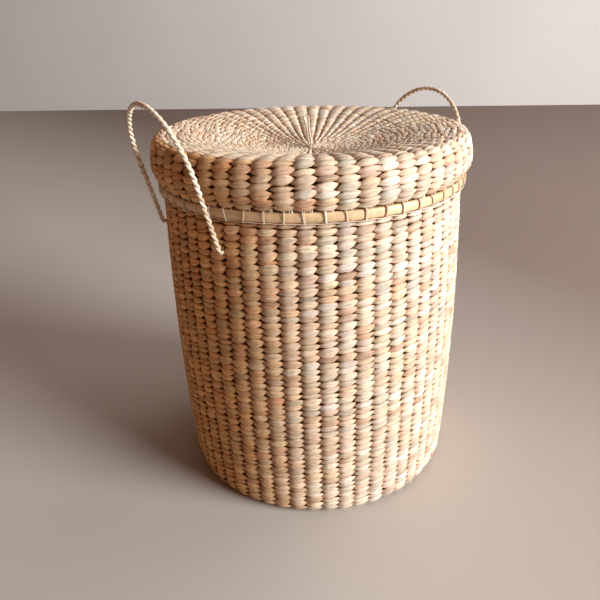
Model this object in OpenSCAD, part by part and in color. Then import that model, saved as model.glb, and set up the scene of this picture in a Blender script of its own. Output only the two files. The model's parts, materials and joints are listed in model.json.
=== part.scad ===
// Round lidded laundry basket, twined from thick natural strands over upright stakes.
// The lid is an over-cap with a dished top and a lashed cane rim, and a rope handle stands
// at either side. The axis is +Z and the floor is z = 0.

/* [Basket] */
// Outer diameter at the floor
bottom_d = 400; // [300:1:480]
// Outer diameter at the shoulder, where the lid sits
top_d = 406; // [320:1:480]
// Extra radius at mid height, where the wall bellies out
belly = 5.6; // [0:0.1:12]
// Height from the floor to the top of the shoulder
shoulder_h = 427; // [300:1:600]
// Radius of the turn from base to wall, at the middle of the wall
foot_r = 8; // [7:0.5:30]

/* [Weave] */
// Number of upright stakes, which is also the number of columns of stitches
stakes = 56; // [24:4:64]
// Bearing of the first stake
stake_bearing = -92.4; // [-180:0.1:180]
// Thickness of a stake through the wall
stake_t = 4; // [2:0.1:6]
// Width of a stake along the wall
stake_w = 4; // [2:0.1:6]
// Thickness of the strand on each face of a stake
strand_t = 4.2; // [2.5:0.1:7]
// Height of one course of twining
course_h = 8.9; // [6:0.1:14]
// Depth of the groove between two courses
course_groove = 1.6; // [0.4:0.1:3]
// How far each column of stitches stands out past the weave between columns
column_relief = 2.1; // [1:0.1:3]
// Width of a column of stitches as a share of the space from stake to stake
column_share = 0.69; // [0.5:0.01:0.8]
// Radius of the start knot at the middle of base and lid
start_r = 16; // [10:0.5:24]
// Radius where the added stakes begin
bye_stake_r = 46; // [40:1:90]

/* [Collar] */
// Height of the collar above the shoulder
collar_h = 36; // [20:1:60]
// Depth to which the collar reaches down inside the wall
collar_foot = 30; // [15:1:60]
// Thickness of the strand on each face of a collar stake
collar_strand_t = 3; // [2:0.1:5]

/* [Lid] */
// Height of the cane strips round the rim of the lid
strip_h = 13; // [8:0.5:20]
// Thickness of each cane strip
strip_t = 3.8; // [2:0.1:6]
// How far the rim strip stands out past the shoulder
rim_overhang = 3.5; // [0:0.1:10]
// How far the lid swells out past its rim strip
lid_swell = 8.3; // [0:0.1:20]
// Height of the widest part above the bottom of the rim
lid_wide_h = 32; // [20:1:60]
// Height of the crest above the bottom of the rim
lid_crest_h = 71; // [45:1:110]
// How far the crest lies inside the widest part
crest_inset = 13.5; // [5:0.5:40]
// Depth of the dished top below its crest
dish_depth = 29; // [5:1:40]
// Thickness of the lashing thread
lashing_t = 1.1; // [0.6:0.1:2]
// Length of the pull loop
pull_len = 50; // [25:1:80]
// Width of the pull loop between its two legs
pull_w = 7; // [5:0.5:20]
// Thickness of the cord of the pull loop
pull_cord = 3; // [2:0.1:5]
// Diameter of the knot that holds the pull loop, under the lid
pull_knot_d = 9; // [6:0.5:14]
// Rise of the pull loop above the level as it lies
pull_rise = 40; // [20:1:80]
// Bearing to which the pull loop leans
pull_bearing = 98; // [0:1:180]

/* [Handles] */
// Diameter of the handle rope
rope_d = 6; // [4:0.1:10]
// Columns of weave between the two ends of a handle
handle_columns = 7; // [3:2:11]
// Columns from the first stake to the middle of the left handle
handle_offset = 8; // [0:1:27]
// Depth of the rope ends below the top of the shoulder
handle_drop = 40; // [38:1:120]
// Rise of the left handle above its ends
left_handle_rise = 168; // [100:1:240]
// Rise of the right handle above its ends
right_handle_rise = 142; // [100:1:240]
// Outward lean of the handles
handle_lean = 13.8; // [12:0.1:25]
// Diameter of the stopper knots inside the wall
knot_d = 15; // [12:0.5:22]

/* [Fit] */
// Gap between pieces that move past each other or rest on each other
clearance = 0.3; // [0.2:0.05:1]
// Gap between strand and stake
bed_gap = 0.1; // [0.05:0.05:0.3]

/* [Hidden] */
$fn = 96;
ROUND = 32;
STEPS = 4;
ARC_STEPS = 6;
FOOT_STEPS = 4;
DISH_STEPS = 8;
FOOT_LEAD = 10;
LOOK = 0.5;
SKIRT_LEAD = 1;
column = 360 / stakes;
wall_t = stake_t + 2 * (bed_gap + strand_t);
half_t = wall_t / 2;
near_t = stake_t / 2 + bed_gap;
ground_t = half_t - column_relief;
ground_groove = course_groove / 2;
stitch_w = column_share * top_d * tan(column / 2);
wall_top = shoulder_h - half_t;
upright_z = wall_top - course_h;
rope_r = rope_d / 2;

// Middle of the wall
bottom_mid_r = bottom_d / 2 - half_t;
top_mid_r = top_d / 2 - half_t;
foot_z = half_t + foot_r;

// Collar, which stands inside the wall
collar_stake_t = stake_t - 0.4;
collar_near = collar_stake_t / 2 + bed_gap;
collar_half = collar_near + collar_strand_t;
collar_mid_r = top_mid_r - half_t - clearance - collar_half;
collar_base = shoulder_h - collar_foot;
collar_top = shoulder_h + collar_h - collar_half;

// Lid
lid_bottom = shoulder_h + clearance + lashing_t;
lid_strip_top = lid_bottom + strip_h;
skirt_bottom = lid_strip_top + lashing_t + bed_gap;
rim_r = top_d / 2 + rim_overhang;
rim_mid_r = rim_r - strip_t - bed_gap - stake_t / 2;
wide_mid_r = rim_r + lid_swell - half_t;
crest_r = wide_mid_r - crest_inset;
wide_z = lid_bottom + lid_wide_h;
crest_z = lid_bottom + lid_crest_h - half_t;
dish_z = crest_z - dish_depth;
pull_r = pull_cord / 2;
pull_ball_r = pull_r + 1;
pull_z = dish_z + half_t + clearance + pull_ball_r;

// Handles
handle_z = shoulder_h - handle_drop;
rope_clear = rope_r + 1;
hinge_r = wall_mid_r(handle_z) + half_t + rope_clear;
handle_half_a = handle_columns * column / 2;
handle_half_w = hinge_r * sin(handle_half_a);
handle_mid_r = hinge_r * cos(handle_half_a);
left_bearing = stake_bearing - handle_offset * column;
right_bearing = left_bearing + 180;
bearings = [left_bearing, right_bearing];
knot_r = knot_d / 2;

straw = "#d9b98a";
tan = "#c69a66";
cane = "#c2904f";
pale = "#e6d2a8";

// ---- Lines in the half plane [radius, height] ----

// Radius of the middle of the wall at height z. The last course stands upright.
function wall_mid_r(z) =
  let (t = min(max(z / upright_z, 0), 1))
  bottom_mid_r + (top_mid_r - bottom_mid_r) * t + belly * 4 * t * (1 - t);

// Points along an arc about c
function arc(c, r, a0, a1, n) =
  [for (i = [0:n]) let (a = a0 + (a1 - a0) * i / n) c + r * [cos(a), sin(a)]];

// Running length at each point of a line
function lengths(line, i = 0, s = 0) =
  i == len(line) - 1
    ? [s]
    : concat([s], lengths(line, i + 1, s + norm(line[i + 1] - line[i])));

// A line as a track: its length, and radius and height looked up by length
function track(line) =
  let (s = lengths(line), n = len(line) - 1)
  [
    s[n],
    [for (i = [0:n]) [s[i], line[i].x]],
    [for (i = [0:n]) [s[i], line[i].y]],
  ];

// Point on a track at length s
function place(tr, s) = [lookup(s, tr[1]), lookup(s, tr[2])];

// Outward normal of a track at length s
function outward(tr, s) =
  let (d = place(tr, s + LOOK) - place(tr, s - LOOK))
  [d.y, -d.x] / norm(d);

// Outline of one layer of twining from length s0 to length s1 of a track.
// side is 1 outside the stakes and -1 inside them.
function layer(tr, s0, s1, side, near, far, groove) =
  let (courses = max(round((s1 - s0) / course_h), 1), n = courses * STEPS)
  concat(
    [
      for (i = [0:n])
      let (s = s0 + (s1 - s0) * i / n, dip = groove * (1 - sin(180 * (i % STEPS) / STEPS)))
      place(tr, s) + side * (far - dip) * outward(tr, s)
    ],
    [
      for (i = [n:-1:0])
      let (s = s0 + (s1 - s0) * i / n)
      place(tr, s) + side * near * outward(tr, s)
    ]
  );

// Lengths of a track's own points between s0 and s1, with both ends
function stops(tr, s0, s1) =
  concat([s0], [for (row = tr[1]) if (row[0] > s0 + LOOK && row[0] < s1 - LOOK) row[0]], [s1]);

// The line that runs beside a track from length s0 to length s1, at depth d outside it
function beside(tr, s0, s1, d) =
  [for (s = stops(tr, s0, s1)) place(tr, s) + d * outward(tr, s)];

// A line of points taken from its other end
function reversed(line) = [for (i = [len(line) - 1:-1:0]) line[i]];

// Outline of a plain strip along a track, from depth near to depth far
function strip(tr, s0, s1, near, far) =
  concat(beside(tr, s0, s1, far), reversed(beside(tr, s0, s1, near)));

// Outline of a column of stitches along a track, with one ridge for each course
function stitches(tr, s0, s1) =
  let (n = 2 * max(round((s1 - s0) / course_h), 1))
  concat(
    [
      for (i = [0:n])
      let (s = s0 + (s1 - s0) * i / n, dip = i % 2 == 0 ? course_groove : 0)
      place(tr, s) + (half_t - dip) * outward(tr, s)
    ],
    reversed(beside(tr, s0, s1, ground_t + bed_gap))
  );

base_line = [[start_r, half_t], [wall_mid_r(foot_z) - foot_r, half_t]];
side_line = concat(
  [
    for (i = [0:ARC_STEPS])
    let (z = foot_z + (upright_z - foot_z) * i / ARC_STEPS)
    [wall_mid_r(z), z]
  ],
  [[top_mid_r, wall_top]]
);
foot_arc = arc(
  [wall_mid_r(foot_z) - foot_r, foot_z], foot_r, FOOT_LEAD - 90, -FOOT_LEAD, FOOT_STEPS
);

skirt_line = concat(
  [[rim_mid_r, skirt_bottom]],
  [
    for (i = [0:ARC_STEPS - 1])
    let (t = i / ARC_STEPS)
    [
      rim_mid_r + (wide_mid_r - rim_mid_r) * (1 - cos(180 * t)) / 2,
      skirt_bottom + SKIRT_LEAD + (wide_z - skirt_bottom - SKIRT_LEAD) * t
    ]
  ],
  [
    for (i = [0:ARC_STEPS])
    let (a = 90 * i / ARC_STEPS)
    [crest_r + (wide_mid_r - crest_r) * cos(a), wide_z + (crest_z - wide_z) * sin(a)]
  ]
);
dish_line = concat(
  [
    for (i = [1:DISH_STEPS])
    let (t = i / DISH_STEPS)
    [
      crest_r + (start_r + course_h - crest_r) * t,
      dish_z + dish_depth * (1 + cos(180 * t)) / 2
    ]
  ],
  [[start_r, dish_z]]
);

body_track = track(concat(base_line, foot_arc, side_line));
foot_s = base_line[1].x - start_r;
stake_start_s = max(stake_w / 2 / tan(column) + 2 * bed_gap, start_r + bed_gap) - start_r;
collar_track = track([[collar_mid_r, collar_base], [collar_mid_r, collar_top]]);
lid_track = track(concat(skirt_line, dish_line));
crest_s = track(skirt_line)[0];
lid_stake_track = track(
  concat([[rim_mid_r, lid_bottom], [rim_mid_r, lid_strip_top]], skirt_line, dish_line)
);

// ---- Shapes that repeat ----

// A ring of twining along part of a track
module weave(tr, s0, s1, side, near = near_t, far = half_t, groove = course_groove) {
  rotate_extrude() polygon(layer(tr, s0, s1, side, near, far, groove));
}

// Copies of an upright outline over the stakes, each as thick as width
module over_stakes(outline, width, start = 0, step = 1) {
  for (i = [start:step:stakes - 1])
    rotate([0, 0, stake_bearing + i * column])
      rotate([90, 0, 0])
        linear_extrude(width, center = true)
          polygon(outline);
}

// Every second stake, starting at the first or the second
module stake_ring(tr, s0, s1, start = 0) {
  over_stakes(strip(tr, s0, s1, -stake_t / 2, stake_t / 2), stake_w, start, 2);
}

// The weave that shows between the columns of stitches
module ground_weave(tr, s0, s1) {
  weave(tr, s0, s1, 1, far = ground_t, groove = ground_groove);
}

// A column of stitches over each stake
module stitch_columns(tr, s0, s1) {
  over_stakes(stitches(tr, s0 + bed_gap, s1 - bed_gap), stitch_w);
}

// Places its children at both rope ends of one handle, with X pointing outward
module at_rope_ends(bearing) {
  for (side = [-1, 1])
    rotate([0, 0, bearing + side * handle_half_a])
      translate([0, 0, handle_z])
        rotate([0, 90, 0])
          children();
}

// Holes for the four rope ends
module rope_holes() {
  for (bearing = bearings)
    at_rope_ends(bearing)
      translate([0, 0, hinge_r - 2 * wall_t])
        cylinder(h = 2 * wall_t + rope_d, r = rope_r + clearance, $fn = ROUND);
}

// A bent-over rim, half round in section
module round_rim(r, z, half) {
  rotate_extrude()
    translate([r, z])
      intersection() {
        circle(r = half, $fn = ROUND);
        translate([-half, 0]) square([2 * half, half]);
      }
}

// ---- Basket ----

// Start of the twining, where the stakes cross
module start_knot(z) {
  edge = half_t - course_groove;
  translate([0, 0, z])
    rotate_extrude()
      polygon([
        [0, -half_t],
        [start_r - course_h / 2, -half_t],
        [start_r - bed_gap, -edge],
        [start_r - bed_gap, edge],
        [start_r - course_h / 2, half_t],
        [0, half_t],
      ]);
}

module base_boss() {
  color(tan) start_knot(half_t);
}

module base_weave_under() {
  color(tan) weave(body_track, 0, foot_s, 1, groove = 0);
}

module base_weave_upper() {
  color(straw) weave(body_track, 0, foot_s, -1);
}

module side_stakes() {
  color(pale) stake_ring(body_track, stake_start_s, body_track[0] - bed_gap);
}

module bye_stakes() {
  color(pale) stake_ring(body_track, bye_stake_r - start_r, body_track[0] - bed_gap, 1);
}

module wall_weave_outer() {
  color(straw)
    difference() {
      ground_weave(body_track, foot_s, body_track[0]);
      rope_holes();
    }
}

module wall_stitches() {
  color(straw) stitch_columns(body_track, foot_s, body_track[0]);
}

module wall_weave_inner() {
  color(tan)
    difference() {
      weave(body_track, foot_s, body_track[0], -1);
      rope_holes();
    }
}

module shoulder_wale() {
  color(straw) round_rim(top_mid_r, wall_top, half_t);
}

module collar_weave_outer() {
  color(tan) weave(collar_track, 0, collar_track[0], 1, collar_near, collar_half);
}

module collar_weave_inner() {
  color(tan) weave(collar_track, 0, collar_track[0], -1, collar_near, collar_half);
}

module collar_stakes() {
  color(pale)
    for (i = [0:stakes - 1])
      rotate([0, 0, stake_bearing + i * column])
        translate([collar_mid_r - collar_stake_t / 2, -stake_w / 2, collar_base])
          cube([collar_stake_t, stake_w, collar_top - collar_base]);
}

module collar_rim() {
  color(straw) round_rim(collar_mid_r, collar_top, collar_half);
}

// ---- Handles ----

module handle_knots(bearing) {
  wall_inner_r = wall_mid_r(handle_z) - half_t;
  color(pale)
    at_rope_ends(bearing) {
      translate([0, 0, wall_inner_r - knot_r])
        sphere(r = knot_r, $fn = ROUND);
      translate([0, 0, wall_inner_r - knot_r])
        cylinder(h = hinge_r - rope_r - clearance - wall_inner_r + knot_r, r = rope_r, $fn = ROUND);
    }
}

module left_handle_knots() {
  handle_knots(left_bearing);
}

module right_handle_knots() {
  handle_knots(right_bearing);
}

module rope_arch(bearing, rise) {
  leg = rise - handle_half_w;
  color(pale)
    rotate([0, 0, bearing])
      translate([handle_mid_r, 0, handle_z])
        rotate([0, handle_lean, 0]) {
          for (side = [-1, 1])
            translate([0, side * handle_half_w, 0]) {
              sphere(r = rope_r, $fn = ROUND);
              cylinder(h = leg, r = rope_r, $fn = ROUND);
            }
          translate([0, 0, leg])
            rotate([90, 0, 90])
              rotate_extrude(angle = 180)
                translate([handle_half_w, 0])
                  circle(r = rope_r, $fn = ROUND);
        }
}

module left_handle() {
  rope_arch(left_bearing, left_handle_rise);
}

module right_handle() {
  rope_arch(right_bearing, right_handle_rise);
}

// ---- Lid ----

module lid_boss() {
  color(tan)
    difference() {
      start_knot(dish_z);
      translate([0, 0, dish_z - wall_t])
        cylinder(h = 2 * wall_t, r = pull_r + clearance, $fn = ROUND);
    }
}

module lid_top_weave() {
  color(straw) weave(lid_track, crest_s, lid_track[0], 1);
}

module lid_under_weave() {
  color(tan) weave(lid_track, crest_s, lid_track[0], -1);
}

module lid_skirt_weave() {
  color(straw) ground_weave(lid_track, 0, crest_s);
}

module lid_skirt_stitches() {
  color(straw) stitch_columns(lid_track, 0, crest_s);
}

module lid_skirt_lining() {
  color(tan) weave(lid_track, 0, crest_s, -1);
}

module lid_stakes() {
  color(pale) stake_ring(lid_stake_track, 0, lid_stake_track[0] - stake_start_s);
}

module lid_bye_stakes() {
  color(pale)
    stake_ring(lid_stake_track, 0, lid_stake_track[0] - bye_stake_r + start_r, 1);
}

// A half-round strip of split cane, with its flat face to the stakes
module cane_strip(flat_r, side) {
  color(cane)
    rotate_extrude()
      translate([flat_r, lid_bottom])
        intersection() {
          translate([min(side * strip_t, 0), 0]) square([strip_t, strip_h]);
          translate([side * (strip_t - strip_h), strip_h / 2]) circle(r = strip_h);
        }
}

module lid_rim_strip() {
  cane_strip(rim_mid_r + stake_t / 2 + bed_gap, 1);
}

module lid_inner_strip() {
  cane_strip(rim_mid_r - stake_t / 2 - bed_gap, -1);
}

module lid_lashing() {
  inner_w = stake_t + 2 * (bed_gap + strip_t + bed_gap);
  beside_stake = (stake_w / 2 + lashing_t) / rim_mid_r * 180 / PI;
  color(pale) {
    for (i = [0:stakes - 1])
      rotate([0, 0, stake_bearing + i * column + beside_stake])
        rotate([90, 0, 0])
          linear_extrude(lashing_t, center = true)
            translate([rim_mid_r, lid_bottom + strip_h / 2])
              difference() {
                square([inner_w + 2 * lashing_t, strip_h + 2 * lashing_t], center = true);
                square([inner_w, strip_h + bed_gap], center = true);
              }
    rotate_extrude()
      translate([rim_mid_r + inner_w / 2 + lashing_t / 2, lid_bottom + lashing_t / 2])
        square(lashing_t, center = true);
  }
}

module lid_pull_knot() {
  pull_knot_r = pull_knot_d / 2;
  color(pale)
    translate([0, 0, dish_z - half_t - pull_knot_r]) {
      sphere(r = pull_knot_r, $fn = ROUND);
      cylinder(h = wall_t + pull_knot_r, r = pull_r, $fn = ROUND);
    }
}

module lid_pull_loop() {
  leg = pull_len - pull_w / 2;
  color(pale)
    translate([0, 0, pull_z])
      rotate([0, 0, pull_bearing])
        rotate([0, 90 - pull_rise, 0]) {
          sphere(r = pull_ball_r, $fn = ROUND);
          for (side = [-1, 1])
            translate([0, side * pull_w / 2, pull_ball_r])
              cylinder(h = leg - pull_ball_r, r = pull_r, $fn = ROUND);
          translate([0, -pull_w / 2, pull_ball_r])
            rotate([-90, 0, 0])
              cylinder(h = pull_w, r = pull_r, $fn = ROUND);
          translate([0, 0, leg])
            rotate([90, 0, 90])
              rotate_extrude(angle = 180)
                translate([pull_w / 2, 0])
                  circle(r = pull_r, $fn = ROUND);
        }
}

base_boss();
base_weave_under();
base_weave_upper();
side_stakes();
bye_stakes();
wall_weave_outer();
wall_stitches();
wall_weave_inner();
shoulder_wale();
collar_weave_outer();
collar_weave_inner();
collar_stakes();
collar_rim();
left_handle_knots();
right_handle_knots();
left_handle();
right_handle();
lid_boss();
lid_top_weave();
lid_under_weave();
lid_skirt_weave();
lid_skirt_stitches();
lid_skirt_lining();
lid_stakes();
lid_bye_stakes();
lid_rim_strip();
lid_inner_strip();
lid_lashing();
lid_pull_knot();
lid_pull_loop();
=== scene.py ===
"""A round lidded laundry basket, twined from thick natural strands over upright stakes.

Each stitch of the twining is a strand that comes out between two stakes, swells over one
stake and goes back in at the next gap. The lid has a dished top and a lashed cane rim, and a
two-ply rope handle stands at either side.
"""

import json
import logging
import math
from dataclasses import dataclass
from enum import Enum

import bpy
import numpy as np
from mathutils import Matrix, Vector


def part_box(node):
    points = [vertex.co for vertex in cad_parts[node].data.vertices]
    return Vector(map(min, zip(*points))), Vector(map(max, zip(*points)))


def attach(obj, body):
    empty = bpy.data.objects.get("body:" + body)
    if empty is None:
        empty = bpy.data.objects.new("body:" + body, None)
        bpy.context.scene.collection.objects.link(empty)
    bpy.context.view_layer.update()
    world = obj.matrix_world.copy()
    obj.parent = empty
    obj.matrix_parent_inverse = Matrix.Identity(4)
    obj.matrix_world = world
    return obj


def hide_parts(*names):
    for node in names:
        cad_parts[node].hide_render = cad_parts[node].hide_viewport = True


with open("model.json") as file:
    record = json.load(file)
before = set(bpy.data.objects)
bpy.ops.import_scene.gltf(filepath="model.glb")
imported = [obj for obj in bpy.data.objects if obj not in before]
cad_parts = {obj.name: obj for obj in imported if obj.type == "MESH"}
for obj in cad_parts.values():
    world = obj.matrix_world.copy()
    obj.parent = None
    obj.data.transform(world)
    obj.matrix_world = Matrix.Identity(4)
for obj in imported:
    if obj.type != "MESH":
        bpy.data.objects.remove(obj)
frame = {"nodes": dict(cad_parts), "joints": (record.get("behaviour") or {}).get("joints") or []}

MM = 0.001
UP = np.array([0.0, 0.0, 1.0])
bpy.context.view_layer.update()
LOG = logging.getLogger("basket")


class Face(Enum):
    """The two faces of a twined surface, as the sign of its distance from the stakes."""

    OUTER = 1
    INNER = -1


class Slot(Enum):
    """The record's material slots."""

    STRAND = "strand"
    SHADED = "shaded_strand"
    STAKE = "stake"
    CANE = "cane"
    THREAD = "thread"
    ROPE = "rope"


# ---- Colour and shader helpers ----


def colour(code: str) -> tuple[float, float, float]:
    """A six-digit colour code as linear red, green and blue."""
    parts = [int(code[i : i + 2], 16) / 255 for i in (0, 2, 4)]
    return tuple(c / 12.92 if c <= 0.04045 else ((c + 0.055) / 1.055) ** 2.4 for c in parts)


def opaque(code: str) -> tuple[float, ...]:
    """A six-digit colour code as linear red, green and blue, and a full alpha."""
    return (*colour(code), 1.0)


class Shader:
    """A material under construction: its nodes, and short ways to link them."""

    def __init__(self, name: str) -> None:
        """Starts a material with one Principled shader."""
        self.material = bpy.data.materials.new(name)
        self.material.use_nodes = True
        self.nodes = self.material.node_tree.nodes
        self.links = self.material.node_tree.links
        self.surface = self.nodes["Principled BSDF"]

    def add(self, kind: str, **values: object) -> bpy.types.Node:
        """Adds a node and sets its properties.

        Args:
            kind: the node's type, without the ShaderNode at its start.
            values: property names and values.

        Returns:
            The node.
        """
        node = self.nodes.new("ShaderNode" + kind)
        for key, value in values.items():
            setattr(node, key, value)
        return node

    def feed(self, target: bpy.types.NodeSocket, source: object) -> None:
        """Links a socket to another one, or sets its value.

        Args:
            target: the socket that is fed.
            source: a socket, or the value.
        """
        if isinstance(source, bpy.types.NodeSocket):
            self.links.new(source, target)
        else:
            target.default_value = source

    def stretched(self, vector: bpy.types.NodeSocket, scale: tuple[float, float, float]) -> object:
        """Multiplies each part of a vector.

        Args:
            vector: the vector's socket.
            scale: what each part is multiplied by.

        Returns:
            The new vector's socket.
        """
        node = self.add("VectorMath", operation="MULTIPLY")
        self.feed(node.inputs[0], vector)
        self.feed(node.inputs[1], scale)
        return node.outputs[0]

    def noise(self, vector: object, scale: float, detail: float = 3.0, rough: float = 0.5) -> object:
        """A noise value between 0 and 1.

        Args:
            vector: the coordinates it is made in.
            scale: how fine it is.
            detail: how many finer layers are added.
            rough: how strong the finer layers are.

        Returns:
            The noise node's value socket.
        """
        node = self.add("TexNoise")
        self.feed(node.inputs["Vector"], vector)
        self.feed(node.inputs["Scale"], scale)
        self.feed(node.inputs["Detail"], detail)
        self.feed(node.inputs["Roughness"], rough)
        return node.outputs["Fac"]

    def grain(self) -> bpy.types.NodeSocket:
        """The mesh's Grain coordinates, along and across each strand."""
        return self.add("UVMap", uv_map="Grain").outputs["UV"]

    def grained(
        self, grain: object, along: float, across: float, detail: float, rough: float = 0.5
    ) -> object:
        """A noise value drawn out along the grain.

        Args:
            grain: the Grain coordinates.
            along: how fine it is along the strand.
            across: how fine it is across the strand.
            detail: how many finer layers are added.
            rough: how strong the finer layers are.

        Returns:
            The noise node's value socket.
        """
        return self.noise(self.stretched(grain, (along, across, 1.0)), 1.0, detail, rough)

    def ranged(self, value: object, low: float, high: float, to_low: float, to_high: float) -> object:
        """Carries a value from one range to another, and holds it inside that.

        Args:
            value: the value's socket.
            low: where the first range starts.
            high: where it ends.
            to_low: where the second range starts.
            to_high: where it ends.

        Returns:
            The new value's socket.
        """
        node = self.add("MapRange", clamp=True)
        for socket, number in zip(node.inputs[1:5], (low, high, to_low, to_high)):
            self.feed(socket, number)
        self.feed(node.inputs[0], value)
        return node.outputs[0]

    def mixed(self, blend: str, share: object, first: object, second: object) -> object:
        """Two colours mixed.

        Args:
            blend: the mix node's blend type.
            share: how much of the second colour.
            first: the first colour.
            second: the second colour.

        Returns:
            The mixed colour's socket.
        """
        node = self.add("Mix", data_type="RGBA", blend_type=blend)
        self.feed(node.inputs[0], share)
        self.feed(node.inputs[6], first)
        self.feed(node.inputs[7], second)
        return node.outputs[2]

    def bump(self, height: object, strength: float, distance: float, after: object = None) -> object:
        """A bumped normal from a height.

        Args:
            height: the height socket.
            strength: how much of the bump is used.
            distance: how high a height of 1 stands, in metres.
            after: the normal of an earlier bump, if any.

        Returns:
            The normal's socket.
        """
        node = self.add("Bump")
        self.feed(node.inputs["Strength"], strength)
        self.feed(node.inputs["Distance"], distance)
        self.feed(node.inputs["Height"], height)
        if after is not None:
            self.feed(node.inputs["Normal"], after)
        return node.outputs["Normal"]

    def set(self, name: str, value: object) -> None:
        """Feeds one input of the Principled shader."""
        self.feed(self.surface.inputs[name], value)


@dataclass(frozen=True)
class FibreFinish:
    """Dried plant strand: its own tint on each stitch, and fibres along its length."""

    name: str
    fibre_count: float = 3.6
    streak_dark: float = 0.66
    streak_light: float = 1.14
    blotch: str = "8a5a2c"
    blotch_share: float = 0.30
    rough_low: float = 0.50
    rough_high: float = 0.78
    bump_height: float = 0.6 * MM
    bump_strength: float = 0.8
    specular: float = 0.35

    def build(self) -> bpy.types.Material:
        """Makes the material from the mesh's Tint colours and Grain coordinates.

        Returns:
            The material.
        """
        made = Shader(self.name)
        tint = made.add("Attribute", attribute_name="Tint").outputs["Color"]
        grain = made.grain()
        fibres = made.grained(grain, 0.5, self.fibre_count, 4.0, 0.6)
        fine = made.grained(grain, 1.2, self.fibre_count * 3.3, 2.0)
        blotches = made.grained(grain, 0.7, 1.3, 3.0)
        streaks = made.ranged(fibres, 0.34, 0.68, self.streak_dark, self.streak_light)
        lines = made.ranged(fine, 0.3, 0.7, 0.82, 1.08)
        base = made.mixed("MULTIPLY", 1.0, tint, streaks)
        base = made.mixed("MULTIPLY", 1.0, base, lines)
        share = made.ranged(blotches, 0.56, 0.8, 0.0, self.blotch_share)
        made.set("Base Color", made.mixed("MIX", share, base, opaque(self.blotch)))
        made.set("Roughness", made.ranged(fibres, 0.3, 0.7, self.rough_high, self.rough_low))
        made.set("Specular IOR Level", self.specular)
        first = made.bump(fibres, self.bump_strength, self.bump_height)
        made.set("Normal", made.bump(fine, self.bump_strength, self.bump_height / 3, first))
        return made.material


@dataclass(frozen=True)
class CaneFinish:
    """Split cane: a hard skin with fine lines along it, glossier than the strands."""

    name: str = "split_cane"
    light: str = "e6c49c"
    dark: str = "c89a6a"
    fleck: str = "8a6238"
    roughness: float = 0.36
    coat: float = 0.12
    coat_roughness: float = 0.3
    bump_height: float = 0.25 * MM

    def build(self) -> bpy.types.Material:
        """Makes the material from the mesh's Grain coordinates, along and across the strip.

        Returns:
            The material.
        """
        made = Shader(self.name)
        grain = made.grain()
        lines = made.grained(grain, 0.35, 9.0, 4.0, 0.6)
        patches = made.grained(grain, 0.16, 0.8, 2.0)
        flecks = made.grained(grain, 2.2, 5.0, 2.0)
        share = made.ranged(lines, 0.36, 0.66, 0.0, 0.6)
        base = made.mixed("MIX", share, opaque(self.light), opaque(self.dark))
        base = made.mixed("MULTIPLY", 1.0, base, made.ranged(patches, 0.35, 0.65, 0.86, 1.12))
        spots = made.ranged(flecks, 0.66, 0.74, 0.0, 0.7)
        made.set("Base Color", made.mixed("MIX", spots, base, opaque(self.fleck)))
        made.set("Roughness", made.ranged(lines, 0.3, 0.7, self.roughness, self.roughness + 0.2))
        made.set("Coat Weight", self.coat)
        made.set("Coat Roughness", self.coat_roughness)
        made.set("Normal", made.bump(lines, 0.5, self.bump_height))
        return made.material


@dataclass(frozen=True)
class StakeFinish:
    """The stiff stalks inside the weave, seen only where the strands part."""

    name: str = "stake_stalk"
    light: str = "d8bd8c"
    dark: str = "8f6a3c"
    patch_scale: float = 90.0
    fine_scale: float = 900.0
    bump_height: float = 0.2 * MM

    def build(self) -> bpy.types.Material:
        """Makes the material in the object's own coordinates, as stakes run every way.

        Returns:
            The material.
        """
        made = Shader(self.name)
        place = made.add("TexCoord").outputs["Object"]
        patches = made.noise(place, self.patch_scale)
        fine = made.noise(place, self.fine_scale)
        share = made.ranged(patches, 0.35, 0.65, 0.0, 1.0)
        base = made.mixed("MIX", share, opaque(self.light), opaque(self.dark))
        base = made.mixed("MULTIPLY", 1.0, base, made.ranged(fine, 0.3, 0.7, 0.82, 1.1))
        made.set("Base Color", base)
        made.set("Roughness", made.ranged(fine, 0.3, 0.7, 0.6, 0.8))
        made.set("Normal", made.bump(fine, 0.5, self.bump_height))
        return made.material


@dataclass(frozen=True)
class FloorFinish:
    """A plain pale surface with a faint cloudiness, whose tone may drift across it into a painted
    shade.
    """

    name: str
    tone: str
    painted_shade_tone: str
    # Painted shade: the tone drifts to the darker tone along this level direction, between these
    # distances
    drift: tuple[float, float] = (0.8, 0.5)
    drift_from: float = -0.15
    drift_to: float = 0.80
    cloud_scale: float = 1.6
    roughness: float = 0.85
    specular: float = 0.2

    def build(self) -> bpy.types.Material:
        """Makes the material, whose tone drifts into a painted shade along a level direction.

        Returns:
            The material.
        """
        made = Shader(self.name)
        place = made.add("TexCoord").outputs["Object"]
        clouds = made.ranged(made.noise(place, self.cloud_scale), 0.3, 0.7, 0.975, 1.02)
        across = made.add("VectorMath", operation="DOT_PRODUCT")
        made.feed(across.inputs[0], place)
        made.feed(across.inputs[1], (*self.drift, 0.0))
        along = made.ranged(across.outputs["Value"], self.drift_from, self.drift_to, 0.0, 1.0)
        base = made.mixed("MIX", along, opaque(self.tone), opaque(self.painted_shade_tone))
        made.set("Base Color", made.mixed("MULTIPLY", 1.0, base, clouds))
        made.set("Roughness", self.roughness)
        made.set("Specular IOR Level", self.specular)
        return made.material


# ---- Tints ----


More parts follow.
